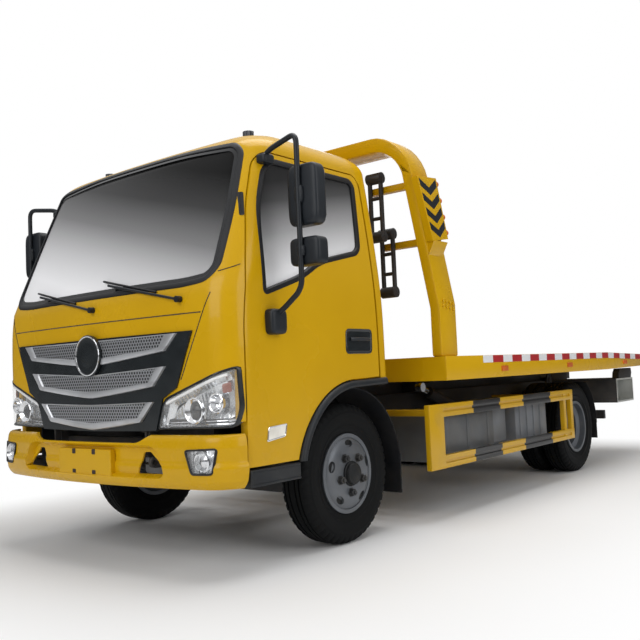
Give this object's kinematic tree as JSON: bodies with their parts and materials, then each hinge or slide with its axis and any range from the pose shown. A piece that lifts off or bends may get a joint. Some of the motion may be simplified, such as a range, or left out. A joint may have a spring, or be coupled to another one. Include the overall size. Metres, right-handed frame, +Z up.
{
  "type": "flatbed tow truck",
  "caption": "Cab-over light tow truck with a tilting, sliding flat deck, an arched lamp gantry behind a tilting cab, striped side guards and twin rear wheels.",
  "frame": {"origin": "on the ground under the middle of the truck's length and width", "axes": "+Z up, front towards -Y, the truck's left towards +X"},
  "size_m": [2.596, 5.9886, 2.41],
  "materials": {
    "chassis_black": "satin",
    "cast_grey": "rough",
    "exhaust_steel": "dull",
    "yellow_paint": "gloss",
    "black_plastic": "matte",
    "gloss_black": "gloss",
    "silver_trim": "satin",
    "lamp_lens": "clear",
    "amber_lens": "gloss",
    "red_lens": "gloss",
    "window_glass": "tinted",
    "seat_fabric": "woven",
    "rod_chrome": "polished",
    "wheel_steel": "satin",
    "tyre_rubber": "matte"
  },
  "bodies": {
    "chassis": {"frame_rails": "chassis_black", "sub_frame": "chassis_black", "engine_block": "cast_grey", "front_axle": "chassis_black", "leaf_springs": "chassis_black", "rear_axle": "chassis_black", "propshaft": "chassis_black", "exhaust": "exhaust_steel", "front_bumper": "yellow_paint", "fog_lamps": "lamp_lens", "front_mudguards": "black_plastic", "rear_mudguards": "black_plastic", "fuel_tank": "chassis_black", "side_boxes": "chassis_black", "side_guards": "yellow_paint", "underrun_bar": "chassis_black"},
    "cab": {"cab_shell": "yellow_paint", "cab_floor": "chassis_black", "cab_glass": "window_glass", "grille": "gloss_black", "grille_bands": "silver_trim", "headlamps": "lamp_lens", "wipers": "black_plastic", "seats": "seat_fabric", "dashboard": "black_plastic", "steering_wheel": "black_plastic", "arch_flares": "black_plastic", "cab_steps": "black_plastic", "roof_markers": "amber_lens"},
    "left_door": {"door_left": "yellow_paint", "door_glass_left": "window_glass", "mirror_left": "black_plastic"},
    "right_door": {"door_right": "yellow_paint", "door_glass_right": "window_glass", "mirror_right": "black_plastic"},
    "left_knuckle": {"knuckle_left": "chassis_black"},
    "right_knuckle": {"knuckle_right": "chassis_black"},
    "wheel_front_left": {"tyre_front_left": "tyre_rubber", "rim_front_left": "wheel_steel"},
    "wheel_front_right": {"tyre_front_right": "tyre_rubber", "rim_front_right": "wheel_steel"},
    "wheel_rear_left": {"tyres_rear_left": "tyre_rubber", "rims_rear_left": "wheel_steel"},
    "wheel_rear_right": {"tyres_rear_right": "tyre_rubber", "rims_rear_right": "wheel_steel"},
    "bed_frame": {"tilt_frame": "chassis_black", "tail_box": "chassis_black", "tail_lamps": "red_lens"},
    "bed": {"deck": "yellow_paint", "gantry": "yellow_paint", "light_boxes": "yellow_paint", "marker_lamps": "amber_lens", "winch": "chassis_black", "wheel_dollies": "chassis_black"},
    "barrels": {"tilt_barrels": "chassis_black"},
    "rods": {"tilt_rods": "rod_chrome"}
  },
  "joints": [
    {"name": "cab_tilt", "type": "hinge", "parent": "chassis", "child": "cab", "pos_m": [0, -2.8545, 0.69], "axis": [1, 0, 0], "range_deg": [0, 42]},
    {"name": "left_door_hinge", "type": "hinge", "parent": "cab", "child": "left_door", "pos_m": [0.99607, -2.7525, 1], "axis": [0, 0, -1], "range_deg": [0, 65]},
    {"name": "right_door_hinge", "type": "hinge", "parent": "cab", "child": "right_door", "pos_m": [-0.99607, -2.7525, 1], "axis": [0, 0, 1], "range_deg": [0, 65]},
    {"name": "steer_left", "type": "hinge", "parent": "chassis", "child": "left_knuckle", "pos_m": [0.72, -1.8825, 0.39], "axis": [0, 0, 1], "range_deg": [-33, 33]},
    {"name": "steer_right", "type": "hinge", "parent": "chassis", "child": "right_knuckle", "pos_m": [-0.72, -1.8825, 0.39], "axis": [0, 0, 1], "range_deg": [-33, 33]},
    {"name": "spin_front_left", "type": "hinge", "parent": "left_knuckle", "child": "wheel_front_left", "pos_m": [0.832, -1.8825, 0.39], "axis": [1, 0, 0], "continuous": true},
    {"name": "spin_front_right", "type": "hinge", "parent": "right_knuckle", "child": "wheel_front_right", "pos_m": [-0.832, -1.8825, 0.39], "axis": [1, 0, 0], "continuous": true},
    {"name": "spin_rear_left", "type": "hinge", "parent": "chassis", "child": "wheel_rear_left", "pos_m": [0.738, 1.4255, 0.39], "axis": [1, 0, 0], "continuous": true},
    {"name": "spin_rear_right", "type": "hinge", "parent": "chassis", "child": "wheel_rear_right", "pos_m": [-0.738, 1.4255, 0.39], "axis": [1, 0, 0], "continuous": true},
    {"name": "bed_tilt", "type": "hinge", "parent": "chassis", "child": "bed_frame", "pos_m": [0, 2.1175, 0.79], "axis": [-1, 0, 0], "range_deg": [0, 14]},
    {"name": "deck_slide", "type": "slide", "parent": "bed_frame", "child": "bed", "axis": [0, 1, 0], "range_m": [0, 2.4]},
    {"name": "barrel_swing", "type": "hinge", "parent": "chassis", "child": "barrels", "pos_m": [0, 0.2175, 0.6], "axis": [-1, 0, 0], "range_deg": [0, 38]},
    {"name": "rod_slide", "type": "slide", "parent": "barrels", "child": "rods", "axis": [0, -0.94, 0.3411], "range_m": [0, 0.335]}
  ],
  "couplings": [
    {"joint": "steer_right", "follows": "steer_left", "ratio": 1},
    {"joint": "barrel_swing", "follows": "bed_tilt", "ratio": 2.7},
    {"joint": "rod_slide", "follows": "bed_tilt", "m_per_rad": 1.365}
  ]
}
